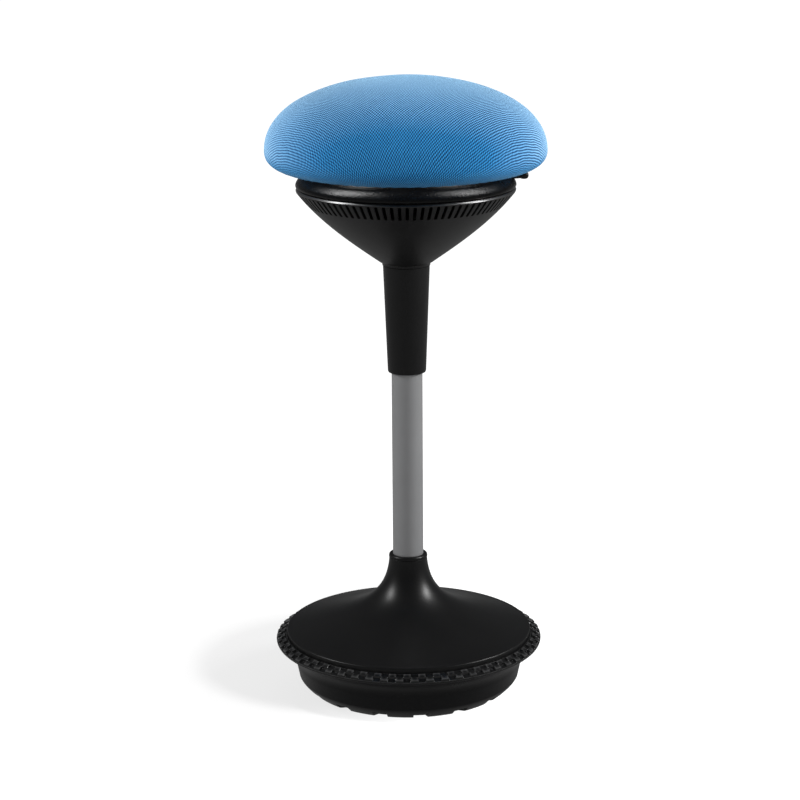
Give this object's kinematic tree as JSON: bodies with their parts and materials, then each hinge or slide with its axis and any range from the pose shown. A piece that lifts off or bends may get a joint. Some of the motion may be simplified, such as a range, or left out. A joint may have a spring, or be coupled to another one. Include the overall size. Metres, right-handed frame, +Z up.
{
  "type": "wobble stool",
  "caption": "Height-adjustable wobble stool: round mesh-covered cushion on a vented cone, tapered sleeve, steel column and weighted domed rubber foot.",
  "frame": {"origin": "on the floor, below the middle of the stool", "axes": "+Z up along the column, +X towards the release lever"},
  "size_m": [0.3394, 0.3394, 0.779],
  "materials": {
    "rubber": "satin moulded rubber",
    "black_plastic": "fine-grained moulded plastic",
    "nylon": "plain moulded nylon",
    "silver_tube": "satin silver powder coat",
    "polished_steel": "ground and polished",
    "zinc_steel": "zinc plated",
    "black_steel": "black stoved paint",
    "cast_iron": "rough sand casting",
    "brass": "turned",
    "mesh_fabric": "knitted spacer mesh",
    "foam": "moulded polyurethane foam",
    "plywood": "raw plywood"
  },
  "bodies": {
    "base": {"rubber_foot": "rubber", "base_weight": "cast_iron", "base_plate": "black_steel", "column_tube": "silver_tube", "bearing_seat": "zinc_steel", "base_shell": "black_plastic", "neck_ring": "black_plastic", "lower_race": "polished_steel", "guide_bush": "nylon", "foot_screw_1": "zinc_steel", "foot_screw_2": "zinc_steel", "foot_screw_3": "zinc_steel", "foot_screw_4": "zinc_steel", "weight_bolt_1": "zinc_steel", "weight_bolt_2": "zinc_steel", "weight_bolt_3": "zinc_steel", "weight_bolt_4": "zinc_steel"},
    "bearing_balls": {"ball_cage": "polished_steel"},
    "lift_rod": {"piston_rod": "polished_steel", "piston": "brass", "upper_race": "polished_steel", "rod_clip": "zinc_steel", "end_bumper": "rubber"},
    "seat": {"collar_screw_1": "zinc_steel", "collar_screw_2": "zinc_steel", "collar_screw_3": "zinc_steel", "collar_screw_4": "zinc_steel", "column_sleeve": "black_plastic", "foam_pad": "foam", "lever_pivot_pin": "zinc_steel", "plate_bolt_1": "zinc_steel", "plate_bolt_2": "zinc_steel", "plate_bolt_3": "zinc_steel", "plate_bolt_4": "zinc_steel", "pressure_tube": "black_steel", "rim_collar": "black_plastic", "rod_seal": "rubber", "seat_board": "plywood", "seat_cover": "mesh_fabric", "seat_plate": "black_steel", "taper_socket": "black_steel", "tee_nut_1": "zinc_steel", "tee_nut_2": "zinc_steel", "tee_nut_3": "zinc_steel", "tee_nut_4": "zinc_steel", "vented_cone": "black_plastic"},
    "lever": {"release_lever": "black_steel", "lever_grip": "black_plastic"},
    "button": {"release_button": "zinc_steel"}
  },
  "joints": [
    {"name": "swivel", "type": "hinge", "parent": "base", "child": "lift_rod", "pos_m": [0, 0, 0.05], "axis": [0, 0, 1], "continuous": true},
    {"name": "ball_roll", "type": "hinge", "parent": "base", "child": "bearing_balls", "pos_m": [0, 0, 0.05], "axis": [0, 0, 1], "continuous": true},
    {"name": "seat_height", "type": "slide", "parent": "lift_rod", "child": "seat", "axis": [0, 0, 1], "range_m": [-0.18, 0]},
    {"name": "lever_lift", "type": "hinge", "parent": "seat", "child": "lever", "pos_m": [0.03, 0, 0.66], "axis": [0, -1, 0], "range_deg": [0, 5.5], "stiffness_Nm_per_rad": 1.5, "springref_deg": -5.73},
    {"name": "button_press", "type": "slide", "parent": "seat", "child": "button", "axis": [0, 0, -1], "range_m": [0, 0.0032], "stiffness_N_per_m": 400}
  ],
  "couplings": [
    {"joint": "ball_roll", "follows": "swivel", "ratio": 0.5},
    {"joint": "button_press", "follows": "lever_lift", "m_per_rad": 0.031}
  ]
}
